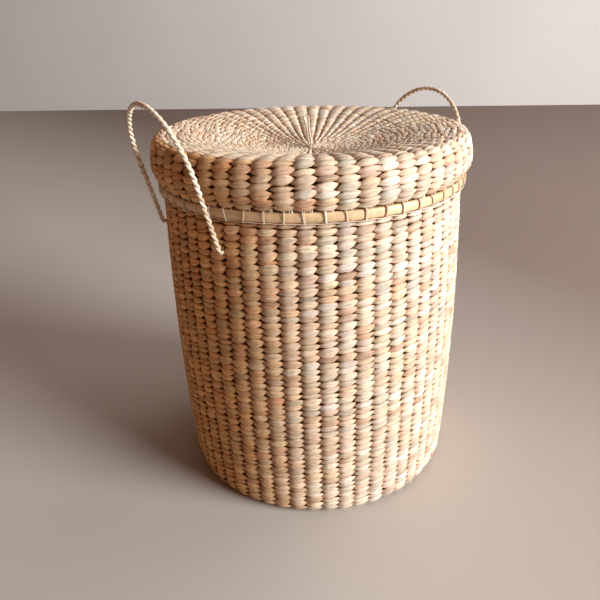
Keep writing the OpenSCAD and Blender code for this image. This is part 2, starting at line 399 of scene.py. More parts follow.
class Palette:
    """Strand tints, each with how often it turns up."""

    def __init__(self, shares: dict[str, float]) -> None:
        """Keeps the tints and their shares.

        Args:
            shares: a colour code and how often it is picked, for each tint.
        """
        self.tints = np.array([colour(code) for code in shares])
        total = sum(shares.values())
        self.shares = np.array([share / total for share in shares.values()])

    def pick(self, rng: np.random.Generator, count: int, spread: float = 0.09) -> np.ndarray:
        """Picks tints at random, each a little lighter or darker than the palette's own.

        Args:
            rng: where the random numbers come from.
            count: how many tints.
            spread: how much they differ in lightness.

        Returns:
            The tints, one row each.
        """
        chosen = self.tints[rng.choice(len(self.tints), count, p=self.shares)]
        light = rng.normal(1.0, spread, (count, 1)).clip(0.7, 1.3)
        return chosen * light * rng.normal(1.0, 0.02, (count, 3))


STRANDS = Palette(
    {
        "e8d0b8": 5.0,
        "e4c8ac": 4.0,
        "e0bfa2": 2.4,
        "dab292": 0.8,
        "ebd6bc": 2.5,
        "e2d0bb": 2.2,
        "d9c7b1": 1.0,
        "eeddcb": 2.4,
        "e4caae": 0.8,
    }
)
# Darker tints for the faces inside and under the basket: painted shade where little light reaches
SHADED = Palette({"d8b48a": 4.0, "cca274": 3.0, "e0c4a0": 2.0, "c8b08c": 2.0, "ba9066": 1.0})
ROPES = Palette({"ecdac4": 4.0, "e2cbb0": 3.0, "d8bd9e": 2.0, "f0e4d4": 2.0})

# Painted shade: how much of each primary is left on the side of the basket away from the key lamp, and
# where that side is
SHADE_SIDE_TINT = np.array([0.94, 0.64, 0.31])
SHADE_SIDE_BEARING = math.radians(-172.0)
SHADE_SIDE_BREADTH = 1.2
# Painted shade: how much of each primary is left where a strand dips into the weave
RECESS_SHADE = np.array([0.76, 0.52, 0.34])
# How long the grain of one stitch is, and how far apart the stitches' grains may start
GRAIN_LENGTH = 2.4
GRAIN_SPREAD = 60.0


# ---- Meshes ----


@dataclass
class Shape:
    """A mesh in arrays: points, faces of three and four corners, grain and tint per point."""

    points: np.ndarray
    quads: np.ndarray
    triangles: np.ndarray
    grain: np.ndarray
    tint: np.ndarray

    @staticmethod
    def joined(shapes: list["Shape"]) -> "Shape":
        """Several shapes as one.

        Args:
            shapes: the shapes.

        Returns:
            One shape with all their points and faces.
        """
        offset, quads, triangles = 0, [], []
        for shape in shapes:
            quads.append(shape.quads + offset)
            triangles.append(shape.triangles + offset)
            offset += len(shape.points)
        points, grain, tint = (
            np.concatenate([getattr(shape, part) for shape in shapes])
            for part in ("points", "grain", "tint")
        )
        return Shape(points, np.concatenate(quads), np.concatenate(triangles), grain, tint)

    def mesh(self, name: str) -> bpy.types.Mesh:
        """Turns the arrays into a smooth mesh with Grain coordinates and Tint colours.

        Args:
            name: the mesh's name.

        Returns:
            The mesh.
        """
        mesh = bpy.data.meshes.new(name)
        corners = np.concatenate([self.quads.ravel(), self.triangles.ravel()]).astype(np.int32)
        sizes = np.repeat([4, 3], [len(self.quads), len(self.triangles)]).astype(np.int32)
        starts = np.concatenate([[0], np.cumsum(sizes)[:-1]]).astype(np.int32)
        mesh.vertices.add(len(self.points))
        mesh.vertices.foreach_set("co", self.points.astype(np.float32).ravel())
        mesh.loops.add(len(corners))
        mesh.loops.foreach_set("vertex_index", corners)
        mesh.polygons.add(len(sizes))
        mesh.polygons.foreach_set("loop_start", starts)
        mesh.polygons.foreach_set("use_smooth", np.ones(len(sizes), bool))
        layer = mesh.uv_layers.new(name="Grain")
        layer.data.foreach_set("uv", self.grain[corners].astype(np.float32).ravel())
        tints = mesh.color_attributes.new("Tint", "FLOAT_COLOR", "POINT")
        full = np.concatenate([self.tint, np.ones((len(self.tint), 1))], axis=1)
        tints.data.foreach_set("color", full.clip(0, 1).astype(np.float32).ravel())
        mesh.update(calc_edges=True)
        mesh.validate()
        return mesh


@dataclass(frozen=True)
class Dress:
    """A material, and the record's slot that it stands for."""

    material: bpy.types.Material
    slot: Slot


def piece(name: str, shape: Shape, dress: Dress, body: str, *stands_for: str) -> None:
    """Adds one finished piece to the scene and reports it.

    Args:
        name: the piece's name.
        shape: its mesh, in place.
        dress: its material, and a slot that is not used here.
        body: the CAD body it rides on.
        stands_for: the CAD nodes it replaces.
    """
    made = bpy.data.objects.new(name, shape.mesh(name))
    bpy.context.scene.collection.objects.link(made)
    made.data.materials.append(dress.material)
    if stands_for:
        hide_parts(*stands_for)
    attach(made, body)
    LOG.info("%s: %d faces", name, len(made.data.polygons))


def grid_faces(rows: int, around: int, wrap_rows: bool = False) -> np.ndarray:
    """The quads of a tube of rows of points, each row closed on itself.

    Args:
        rows: how many rows.
        around: how many points a row has.
        wrap_rows: whether the last row is joined to the first.

    Returns:
        The quads, four corners a row.
    """
    row = np.arange(rows if wrap_rows else rows - 1)[:, None]
    col = np.arange(around)[None, :]
    next_row, next_col = (row + 1) % rows * around, (col + 1) % around
    row = row * around
    quads = (row + col, row + next_col, next_row + next_col, next_row + col)
    return np.stack(np.broadcast_arrays(*quads), axis=-1).reshape(-1, 4)


def tube_caps(rows: int, around: int) -> np.ndarray:
    """The triangles that close a tube, with its two end points after all its rows.

    Args:
        rows: how many rows of points.
        around: how many points a row has.

    Returns:
        The triangles, three corners a row.
    """
    col, size = np.arange(around), rows * around
    after, top = (col + 1) % around, size - around
    foot = np.stack([after, col, np.full(around, size)], axis=1)
    return np.concatenate([foot, np.stack([top + col, top + after, foot[:, 2] + 1], axis=1)])


# ---- Places and lines ----


def placed(radius: np.ndarray, bearing: np.ndarray, height: np.ndarray) -> np.ndarray:
    """Points in space.

    Args:
        radius: the distance of each from the basket's axis.
        bearing: the bearing of each.
        height: the height of each above the floor.

    Returns:
        The points, with x, y and z along the last axis.
    """
    parts = (radius * np.cos(bearing), radius * np.sin(bearing), height)
    return np.stack(np.broadcast_arrays(*parts), axis=-1)


def level(bearing: float) -> np.ndarray:
    """The level direction at a bearing."""
    return np.array([math.cos(bearing), math.sin(bearing), 0.0])


def joint_place(name: str) -> np.ndarray:
    """Where a joint of the frame stands."""
    joint = next(j for j in frame["joints"] if j["name"] == name)
    return np.array(joint["pos_m"], float)


def off_axis(axis: np.ndarray) -> np.ndarray:
    """A direction that stands well away from an axis."""
    return UP if abs(axis @ UP) < 0.9 else np.array([1.0, 0.0, 0.0])


def running(path: np.ndarray) -> np.ndarray:
    """The running length at each sample of a path."""
    return np.concatenate([[0.0], np.cumsum(np.linalg.norm(np.diff(path, axis=0), axis=1))])


class Line:
    """A line in the half plane of radius and height, measured by its running length."""

    def __init__(self, points: list[tuple[float, float]]) -> None:
        """Measures the line.

        Args:
            points: radius and height of each point, in metres.
        """
        self.points = np.array(points, float)
        self.at = running(self.points)
        self.length = float(self.at[-1])
        slope = np.gradient(self.points, self.at, axis=0)
        normal = np.stack([slope[:, 1], -slope[:, 0]], axis=1)
        self.normals = normal / np.linalg.norm(normal, axis=1)[:, None]

    def _read(self, run: np.ndarray, values: np.ndarray) -> np.ndarray:
        """Pairs of values kept for the line's points, read at running lengths."""
        return np.stack([np.interp(run, self.at, values[:, i]) for i in (0, 1)], axis=-1)

    def place(self, run: np.ndarray) -> np.ndarray:
        """Radius and height at each running length."""
        return self._read(run, self.points)

    def outward(self, run: np.ndarray) -> np.ndarray:
        """The outward direction at each running length."""
        found = self._read(run, self.normals)
        return found / np.linalg.norm(found, axis=-1, keepdims=True)

    def spot(self, run: np.ndarray, depth: np.ndarray, bearing: np.ndarray) -> np.ndarray:
        """Points in space by the line.

        Args:
            run: the running length of each.
            depth: how far outward from the line each lies.
            bearing: the bearing of each.

        Returns:
            The points, with x, y and z along the last axis.
        """
        flat = self.place(run) + depth[..., None] * self.outward(run)
        return placed(flat[..., 0], bearing, flat[..., 1])

    def run_at_radius(self, radius: float, after: float) -> float:
        """Where the line first crosses a radius.

        Args:
            radius: the radius.
            after: the running length to start from.

        Returns:
            The running length of the crossing.
        """
        side = self.points[:, 0] - radius
        cross = np.nonzero((side[:-1] * side[1:] <= 0) & (self.at[:-1] >= after))[0]
        i = int(cross[0])
        share = side[i] / (side[i] - side[i + 1])
        return float(self.at[i] + share * (self.at[i + 1] - self.at[i]))


def edge_line(radius: float, height: float, turn: float) -> Line:
    """A tight half turn from the outer side of an edge over its top to the inner side.

    Args:
        radius: the middle of the edge.
        height: the top of the edge.
        turn: the radius of the turn.

    Returns:
        The line.
    """
    angles = np.linspace(0, math.pi, 25)
    return Line([(radius + turn * math.cos(a), height + turn * math.sin(a)) for a in angles])


def ring_path(radius: float, height: float, count: int) -> np.ndarray:
    """A level circle, with its last sample on its first."""
    return placed(radius, np.linspace(0, 2 * math.pi, count + 1), height)


def ease(t: np.ndarray) -> np.ndarray:
    """Smooth step from 0 to 1."""
    t = np.clip(t, 0.0, 1.0)
    return t * t * (3 - 2 * t)


# ---- Twining ----


@dataclass(frozen=True)
class Stitch:
    """How one stitch of a strand swells over its stake, with lengths in metres."""

    thick: float = 4.2 * MM
    stake: float = 4.0 * MM
    rings: int = 10
    sides: int = 11
    before: float = 0.60
    after: float = 0.66
    slant: float = 0.44
    fill: float = 1.27
    belly_at: float = 0.48
    bluntness: float = 0.76
    narrowing: float = 2.3
    lead_depth: float = 0.28
    risen_at: float = 0.42
    crest_at: float = 0.46
    tail_at: float = 0.50
    tail_drop: float = 0.50
    tail_curve: float = 2.6
    tip: float = 0.03
    thinnest: float = 0.12
    creases: float = 0.30
    flat: float = 0.7
    square: float = 0.86
    ring_bias: float = 0.12
    side_bias: float = 0.45
    plump: tuple[float, float] = (0.75, 1.15)

    @property
    def reach(self) -> float:
        """How far from the line the middle of a strand lies where it crosses a stake."""
        return self.stake / 2 + self.thick / 2

    def height(self, t: np.ndarray) -> np.ndarray:
        """Half height along the stitch, as a share of its half course."""
        left = np.sin(np.pi / 2 * np.clip(t / self.belly_at, 0, 1)) ** self.bluntness
        past = np.clip((t - self.belly_at) / (1 - self.belly_at), 0, 1)
        right = 1 - past**self.narrowing
        return np.maximum(np.where(t < self.belly_at, left, right), self.tip)

    def depth(self, t: np.ndarray) -> np.ndarray:
        """How far out the middle of the strand lies, as a share of its full depth."""
        rise = self.lead_depth + (1 - self.lead_depth) * ease(t / self.risen_at)
        past = np.clip((t - self.tail_at) / (1 - self.tail_at), 0, 1)
        fall = 1 - self.tail_drop * past**self.tail_curve
        return np.where(t < self.crest_at, rise, fall)

    def body(self, t: np.ndarray) -> np.ndarray:
        """Half thickness along the stitch, as a share of the strand's half thickness."""
        return np.maximum(np.sin(np.pi * np.clip(t, 0, 1) ** 0.9) ** 0.6, self.thinnest)


@dataclass(frozen=True)
class HandWork:
    """How much stitches differ from each other, as shares of their own sizes."""

    turn: float = 0.025
    fat_jump: float = 0.24
    drift: float = 0.10
    most: float = 0.33
    length: float = 0.04
    slant: float = 0.10
    bend: float = 0.10
    ridge: float = 0.04
    grain: float = 0.02
    height: float = 0.05
    lie: float = 0.04
    crease: tuple[float, float] = (0.10, 0.30)
    own_tint: float = 0.55
    shared_tint: float = 0.05


@dataclass(frozen=True)
class RecessShade:
    """Painted shade on a stitch where it dips into the weave and along its edges, as shares of its
    length.
    """

    ends: float = 0.26
    tail: float = 0.75
    edge: float = 0.55
    edge_curve: float = 5.0

    def share(self, t: np.ndarray, across: np.ndarray) -> np.ndarray:
        """How dark each point is painted, as shade.

        Args:
            t: its place along the stitch.
            across: its place across the stitch.

        Returns:
            A share from 0 to about 1 for each.
        """
        lead, tail = 1 - ease(t / self.ends), ease((t - (1 - self.ends)) / self.ends)
        dark = np.maximum(lead, self.tail * tail)
        return np.maximum(dark, self.edge * np.abs(across) ** self.edge_curve)


@dataclass(frozen=True)
class Look:
    """Which face of a surface is twined, in what stitch and tints."""

    face: Face
    stitch: Stitch
    palette: Palette


@dataclass
class Band:
    """One face of a twined surface between two running lengths of a line."""

    line: Line
    start: float
    end: float
    columns: int
    first: float
    look: Look
    seed: int
    course: float = 8.9 * MM
    uneven: float = 0.105
    fat_share: float = 0.05
    shift: float = 0.0
    # How much painted shade a band gets on the side away from the key lamp
    side_shaded: float = 0.0
    overrun: float = 1.2 * MM
    hand: HandWork = HandWork()
    # Painted shade where each stitch dips into the weave and along its edges
    recess_shade: RecessShade = RecessShade()

    @property
    def column(self) -> float:
        """The angle between two stakes."""
        return 2 * math.pi / self.columns

    def build(self) -> Shape:
        """Lays every stitch of the band.

        Returns:
            The stitches as one shape.
        """
        rng = np.random.default_rng(self.seed)
        ideal = self._ideal_edges()
        courses = len(ideal) - 1
        edges = self._edges(rng, ideal)
        order = np.tile(np.arange(self.columns), courses)
        turn = self.first + self.column * (order + self.shift)
        turn = turn + rng.normal(0, self.hand.turn, turn.size) * self.column
        tint = self._tints(rng, courses) * self._side_shade(turn)
        return self._stitches(rng, edges[:-1].ravel(), edges[1:].ravel(), turn, tint)

    def _ideal_edges(self) -> np.ndarray:
        """Divides the band evenly on the outer side of its strands.

        Returns:
            The running length of each edge between courses.
        """
        run = np.linspace(self.start, self.end, 200)
        skin = self.line.place(run) + self.look.stitch.reach * self.line.outward(run)
        outer = running(skin)
        courses = max(round(outer[-1] / self.course), 1)
        return np.interp(np.linspace(0, outer[-1], courses + 1), outer, run)

    def _edges(self, rng: np.random.Generator, ideal: np.ndarray) -> np.ndarray:
        """Lets the edges between courses wander, as strands differ in thickness.

        Args:
            rng: the band's own random numbers.
            ideal: the running lengths of even edges.

        Returns:
            The running length of each edge in each column.
        """
        size, hand = (len(ideal), self.columns), self.hand
        wobble = rng.normal(0, self.uneven, size)
        fat = rng.random(size) < self.fat_share
        wobble = wobble + np.where(fat, rng.choice([-hand.fat_jump, hand.fat_jump], size), 0.0)
        drift = rng.normal(0, 1.0, size)
        for _ in range(2):
            drift = (drift + np.roll(drift, 1, axis=1) + np.roll(drift, -1, axis=1)) / 3
        wobble = np.clip(wobble + hand.drift * drift, -hand.most, hand.most)
        wobble[[0, -1]] = 0.0
        return ideal[:, None] + np.gradient(ideal)[:, None] * wobble

    def _side_shade(self, turn: np.ndarray) -> np.ndarray:
        """What each stitch's tint is multiplied by, to paint shade on the side of the basket away from
        the key lamp.
        """
        share = self.side_shaded * ease(SHADE_SIDE_BREADTH * np.cos(turn - SHADE_SIDE_BEARING))
        return 1 - share[:, None] * (1 - SHADE_SIDE_TINT)

    def _tints(self, rng: np.random.Generator, courses: int) -> np.ndarray:
        """Picks a tint for each stitch, shared in part along each strand's own length.

        Args:
            rng: the band's own random numbers.
            courses: how many courses the band has.

        Returns:
            The tints, one row a stitch.
        """
        own = self.look.palette.pick(rng, courses * self.columns)
        own = own.reshape(courses, self.columns, 3)
        shared = np.empty_like(own)
        for course in range(courses):
            for ply in (0, 1):
                at = ply
                while at < self.columns:
                    length = int(rng.integers(5, 14)) * 2
                    shared[course, at : at + length : 2] = self.look.palette.pick(rng, 1)
                    at += length
        keep = rng.random((courses, self.columns, 1)) < self.hand.own_tint
        shared = shared * rng.normal(1, self.hand.shared_tint, keep.shape)
        return np.where(keep, own, shared).reshape(-1, 3)

    def _stitches(
        self,
        rng: np.random.Generator,
        low: np.ndarray,
        high: np.ndarray,
        turn: np.ndarray,
        tint: np.ndarray,
    ) -> Shape:
        """Builds all stitches at once, in arrays of stitch, ring and point.

        Args:
            rng: the band's own random numbers.
            low: where each stitch's lower edge runs.
            high: where each stitch's upper edge runs.
            turn: the bearing of each stitch's stake.
            tint: each stitch's colour.

        Returns:
            The stitches as one shape.
        """
        form, hand, side = self.look.stitch, self.hand, self.look.face.value
        one, each_ring = (len(low), 1, 1), (len(low), form.rings + 2, 1)
        t = np.linspace(0, 1, form.rings + 2)
        t = (t - form.ring_bias * np.sin(2 * np.pi * t) / (2 * np.pi))[None, :, None]
        even = 2 * np.pi * np.arange(form.sides) / form.sides
        psi = (even + form.side_bias * np.cos(even))[None, None, :]
        middle = ((low + high) / 2)[:, None, None]
        half = ((high - low) / 2)[:, None, None] * form.fill
        along = -form.before + (form.before + form.after) * t
        along = along * (1 + rng.normal(0, hand.length, one))
        slant = form.slant + rng.normal(0, hand.slant, one)
        bend = rng.normal(0, hand.bend, one)
        ridge = self._ridge(rng, psi, len(low))
        tall = form.height(t) * (1 + rng.normal(0, hand.height, each_ring))
        plump = np.clip(half / (self.course / 2), *form.plump)
        fat = form.thick / 2 * form.body(t) * plump
        for size in (tall, fat):
            size[:, [0, -1]] = 0.0
        across = np.sign(np.cos(psi)) * np.abs(np.cos(psi)) ** form.square * ridge
        deep = np.sign(np.sin(psi)) * np.abs(np.sin(psi)) ** form.flat * ridge
        sway = 2 * t - 1
        rise = side * slant * half * (0.4 * sway + 0.6 * sway**3) + bend * half * (1 - sway**2)
        run = middle + rise + half * tall * across
        lie = form.reach * form.depth(t) * (1 + rng.normal(0, hand.lie, one))
        limit = form.reach + form.thick / 2
        depth = np.clip(side * (lie + fat * deep), -limit, limit)
        run = np.clip(run, self.start - self.overrun, self.end + self.overrun)
        bearing = np.broadcast_to(turn[:, None, None] + self.column * along, run.shape)
        spots = self.line.spot(run, depth, bearing)
        return self._closed(rng, spots, tint, t[0, 1:-1, 0], across[:, 1:-1])

    def _ridge(self, rng: np.random.Generator, psi: np.ndarray, count: int) -> np.ndarray:
        """Roughens the section of each stitch, with a crease along some of its outer side.

        Args:
            rng: the band's own random numbers.
            psi: the angle of each point round the section.
            count: how many stitches.

        Returns:
            What the size of the section is multiplied by at each point.
        """
        form, hand = self.look.stitch, self.hand
        ridge = 1 + rng.normal(0, hand.ridge, (count, 1, form.sides))
        creased = (rng.random(ridge.shape) < form.creases) & (np.sin(psi) > 0.25)
        ridge = ridge - creased * rng.uniform(*hand.crease, ridge.shape)
        return ridge + rng.normal(0, hand.grain, (count, form.rings + 2, form.sides))

    def _closed(
        self,
        rng: np.random.Generator,
        spots: np.ndarray,
        tint: np.ndarray,
        ring_t: np.ndarray,
        across: np.ndarray,
    ) -> Shape:
        """Closes each stitch at its two ends and gives it grain, and a tint darkened by painted shade
        where it dips in.

        Args:
            rng: the band's own random numbers.
            spots: points of each stitch, ring by ring, with a point for a ring at each end.
            tint: each stitch's colour.
            ring_t: place along the stitch of each full ring.
            across: place across the stitch of each point of the full rings.

        Returns:
            The stitches as one shape.
        """
        count, rings, around = across.shape
        inner = spots[:, 1:-1].reshape(count, rings * around, 3)
        points = np.concatenate([inner, spots[:, [0, -1], 0]], axis=1)
        size = rings * around + 2
        quads, caps = grid_faces(rings, around), tube_caps(rings, around)
        if self.look.face is Face.INNER:
            quads, caps = quads[:, ::-1], caps[:, ::-1]
        base = (np.arange(count) * size)[:, None, None]
        place = rng.random((count, 1, 2)) * GRAIN_SPREAD
        ring_t = np.repeat(ring_t, around)
        across = across.reshape(count, rings * around)
        grain = np.empty((count, size, 2))
        grain[:, :-2, 0] = ring_t * GRAIN_LENGTH
        grain[:, -2:, 0] = 0.0, GRAIN_LENGTH
        grain[:, :-2, 1], grain[:, -2:, 1] = across * 0.5, 0.0
        grain += place
        # Painted shade: darker where each stitch dips into the weave, along its edges and at its end
        # points
        dark = np.concatenate([self.recess_shade.share(ring_t, across), np.ones((count, 2))], axis=1)
        tints = tint[:, None, :] * (1 - dark[:, :, None] * (1 - RECESS_SHADE))
        return Shape(
            points.reshape(-1, 3),
            (quads[None] + base).reshape(-1, 4),
            (caps[None] + base).reshape(-1, 3),
            grain.reshape(-1, 2),
            tints.reshape(-1, 3),
        )


# ---- Ropes and threads ----


def smooth_path(points: list[np.ndarray], step: float, closed: bool = False) -> np.ndarray:
    """A smooth curve through points, resampled at an even step.

    Args:
        points: the points, in metres.
        step: the distance between samples.
        closed: whether the curve returns to its start.

    Returns:
        The samples, one row each.
    """
    knots = np.array(points, float)
    if closed:
        knots = np.concatenate([knots[-1:], knots, knots[:2]])
    else:
        first, last = 2 * knots[0] - knots[1], 2 * knots[-1] - knots[-2]
        knots = np.concatenate([[first], knots, [last]])
    u = np.linspace(0, 1, 24, endpoint=False)[:, None]
    parts = []
    for i in range(1, len(knots) - 2):
        a, b, c, d = knots[i - 1 : i + 3]
        square, cube = 2 * a - 5 * b + 4 * c - d, 3 * b - a - 3 * c + d
        parts.append(0.5 * (2 * b + (c - a) * u + square * u**2 + cube * u**3))
    dense = np.concatenate(parts + [knots[-2:-1]])
    run = running(dense)
    even = np.linspace(0, run[-1], max(int(run[-1] / step), 4) + 1)
    return np.stack([np.interp(even, run, dense[:, i]) for i in range(3)], axis=1)


def frames(path: np.ndarray, closed: bool = False) -> tuple[np.ndarray, np.ndarray, np.ndarray]:
    """Two directions square to a path at each sample, turning as little as possible.

    Args:
        path: the samples.
        closed: whether the last sample is the first again.

    Returns:
        The two directions and the running length.
    """
    along = np.gradient(path, axis=0)
    if closed:
        along[0] = along[-1] = path[1] - path[-2]
    along /= np.linalg.norm(along, axis=1)[:, None]
    sides = [off_axis(along[0])]
    for here in along:
        side = sides[-1] - here * (sides[-1] @ here)
        sides.append(side / np.linalg.norm(side))
    first, run = np.array(sides[1:]), running(path)
    if closed:
        second = np.cross(along, first)
        miss = math.atan2(first[-1] @ second[0], first[-1] @ first[0])
        angle = (-miss * run / run[-1])[:, None]
        first = first * np.cos(angle) + second * np.sin(angle)
    return first, np.cross(along, first), run


def tube(
    path: np.ndarray,
    wide: np.ndarray | float,
    thick: np.ndarray | float,
    tint: np.ndarray,
    sides: int = 8,
    closed: bool = False,
    grain_at: float = 0.0,
) -> Shape:
    """A tube of oval section along a path.

    Args:
        path: the samples of its middle.
        wide: half width at each sample, along the first direction of its frame.
        thick: half thickness at each sample.
        tint: the colour at each sample, or one colour.
        sides: points round the section.
        closed: whether it returns to its start.
        grain_at: where its grain starts.

    Returns:
        The tube as a shape.
    """
    first, second, run = frames(path, closed)
    wide, thick = (np.broadcast_to(size, len(path))[:, None] for size in (wide, thick))
    tint = np.broadcast_to(tint, path.shape)
    psi = 2 * np.pi * np.arange(sides) / sides
    ring = path[:, None] + first[:, None] * (np.cos(psi) * wide)[..., None]
    ring = ring + second[:, None] * (np.sin(psi) * thick)[..., None]
    rows = len(path) - 1 if closed else len(path)
    along, across = run[:rows, None] * 100 + grain_at, np.cos(psi) * 0.5 + grain_at
    grain = np.stack(np.broadcast_arrays(along, across), -1).reshape(-1, 2)
    quads = grid_faces(rows, sides, closed)
    tints = np.repeat(tint[:rows], sides, axis=0)
    points = ring[:rows].reshape(-1, 3)
    if closed:
        return Shape(points, quads, np.empty((0, 3), int), grain, tints)
    points = np.concatenate([points, path[[0, -1]]])
    grain = np.concatenate([grain, grain[[0, -1]]])
    tints = np.concatenate([tints, tint[[0, -1]]])
    return Shape(points, quads, tube_caps(rows, sides), grain, tints)


# Radius of a ply for each number of plies, as a share of the rope's
PLY_SHARE = {2: 0.57, 3: 0.52}


@dataclass(frozen=True)
class Rope:
    """Plies laid round each other, with lengths in metres."""

    radius: float
    plies: int
    lay: float
    seed: int
    palette: Palette = ROPES
    uneven: float = 0.06
    sides: int = 8

    def along(self, path: np.ndarray, closed: bool = False) -> Shape:
        """Lays the plies along a path.

        Args:
            path: even samples of the rope's middle.
            closed: whether it returns to its start.

        Returns:
            The rope as a shape.
        """
        rng = np.random.default_rng(self.seed)
        first, second, run = frames(path, closed)
        turns = run[-1] / self.lay
        if closed:
            turns = round(turns)
        twist = -2 * math.pi * turns * run / run[-1]
        ply = self.radius * PLY_SHARE[self.plies]
        count = max(len(path) // 14, 3)
        at, spread = np.arange(count), np.linspace(0, count - 1, len(path))
        made = []
        for i in range(self.plies):
            angle = (twist + 2 * math.pi * i / self.plies)[:, None]
            arm = (self.radius - ply) * (first * np.cos(angle) + second * np.sin(angle))
            sizes = rng.normal(1, self.uneven, count)
            tints = self.palette.pick(rng, count, 0.06)
            if closed:
                sizes[-1], tints[-1] = sizes[0], tints[0]
            size = ply * np.interp(spread, at, sizes)
            tint = np.stack([np.interp(spread, at, tints[:, k]) for k in range(3)], 1)
            made.append(tube(path + arm, size, size, tint, self.sides, closed, 7.0 * i))
        return Shape.joined(made)


# ---- The basket's own forms ----


@dataclass
class Weaving:
    """What every twined part shares."""

    stakes: int = 56
    first: float = math.radians(-92.4)
    stake_t: float = 4.0 * MM
    strand_t: float = 4.2 * MM
    bed_gap: float = 0.1 * MM
    start_r: float = 16.0 * MM
    bye_stake_r: float = 46.0 * MM
    course: float = 8.9 * MM
    top_course: float = 7.7 * MM
    handle_column: int = -8

    @property
    def column(self) -> float:
        """The angle between two stakes."""
        return 2 * math.pi / self.stakes

    @property
    def half_t(self) -> float:
        """Half the thickness of a twined wall."""
        return self.stake_t / 2 + self.bed_gap + self.strand_t

    @property
    def left(self) -> float:
        """The bearing of the left handle."""
        return self.first + self.handle_column * self.column

    def seen(self) -> Look:
        """The twining of the faces that show."""
        return Look(Face.OUTER, Stitch(self.strand_t, self.stake_t), STRANDS)

    def hidden(self, face: Face = Face.INNER) -> Look:
        """The twining inside and below, with lighter stitches in the darker tints of painted shade."""
        return Look(face, Stitch(self.strand_t, self.stake_t, rings=6, sides=6), SHADED)


@dataclass
class Finishes:
    """The materials, made once, each with its slot."""

    strand: Dress
    shaded: Dress
    cane: Dress
    stake: Dress
    thread: Dress
    stake_end: Dress
    rope: Dress

    @staticmethod
    def made() -> "Finishes":
        """Builds every material.

        Returns:
            The finishes.
        """
        thread = FibreFinish("lashing_thread", fibre_count=5.0, bump_height=0.2 * MM).build()
        shaded = FibreFinish("shaded_strand", streak_light=1.08, blotch_share=0.4)
        rope = FibreFinish("twisted_rope", fibre_count=6.0, streak_dark=0.78)
        return Finishes(
            strand=Dress(FibreFinish("twined_strand").build(), Slot.STRAND),
            shaded=Dress(shaded.build(), Slot.SHADED),
            cane=Dress(CaneFinish().build(), Slot.CANE),
            stake=Dress(StakeFinish().build(), Slot.STAKE),
            thread=Dress(thread, Slot.THREAD),
            stake_end=Dress(thread, Slot.STAKE),
            rope=Dress(rope.build(), Slot.ROPE),
        )


@dataclass
class StartKnot:
    """The start of the twining, where the first stakes cross: rounds of short stitches."""

    weaving: Weaving
    height: float
    palette: Palette
    seed: int
    outer_below: bool = False
    columns: int = 14
    eye_r: float = 3.2 * MM
    course: float = 6.4 * MM
    cross_reach: float = 5.5 * MM
    cross_sink: float = 1.7 * MM
    cross_step: float = 0.5 * MM
    cross_size: tuple[float, float] = (1.8 * MM, 1.6 * MM)
    cross_turn: float = 0.3

    def build(self) -> Shape:
        """Lays the stitches on both faces and closes them with four crossing strands.

        Returns:
            The knot as one shape.
        """
        w, rng = self.weaving, np.random.default_rng(self.seed)
        flat = Line([(w.start_r - w.bed_gap, self.height), (self.eye_r, self.height)])
        form = Stitch(w.strand_t * 0.95, w.stake_t, rings=7, sides=7, before=0.55, after=0.58)
        made = []
        for face in Face:
            shown = Face(-face.value) if self.outer_below else face
            look = Look(shown, form, self.palette)
            band = Band(
                flat, 0.0, flat.length, self.columns, w.first, look, self.seed + face.value,
                course=self.course, uneven=0.05, fat_share=0.0,
            )
            made.append(band.build())
        reach = np.linspace(-self.cross_reach, self.cross_reach, 9)
        arch = (w.half_t - self.cross_sink) * np.cos(reach / self.cross_reach * math.pi / 2.2)
        for i in range(2):
            turn = w.first + math.pi / 2 * i + self.cross_turn
            for side in (-1, 1):
                path = placed(reach, turn, self.height + side * arch - self.cross_step * i * side)
                made.append(tube(path, *self.cross_size, self.palette.pick(rng, 1)))
        return Shape.joined(made)


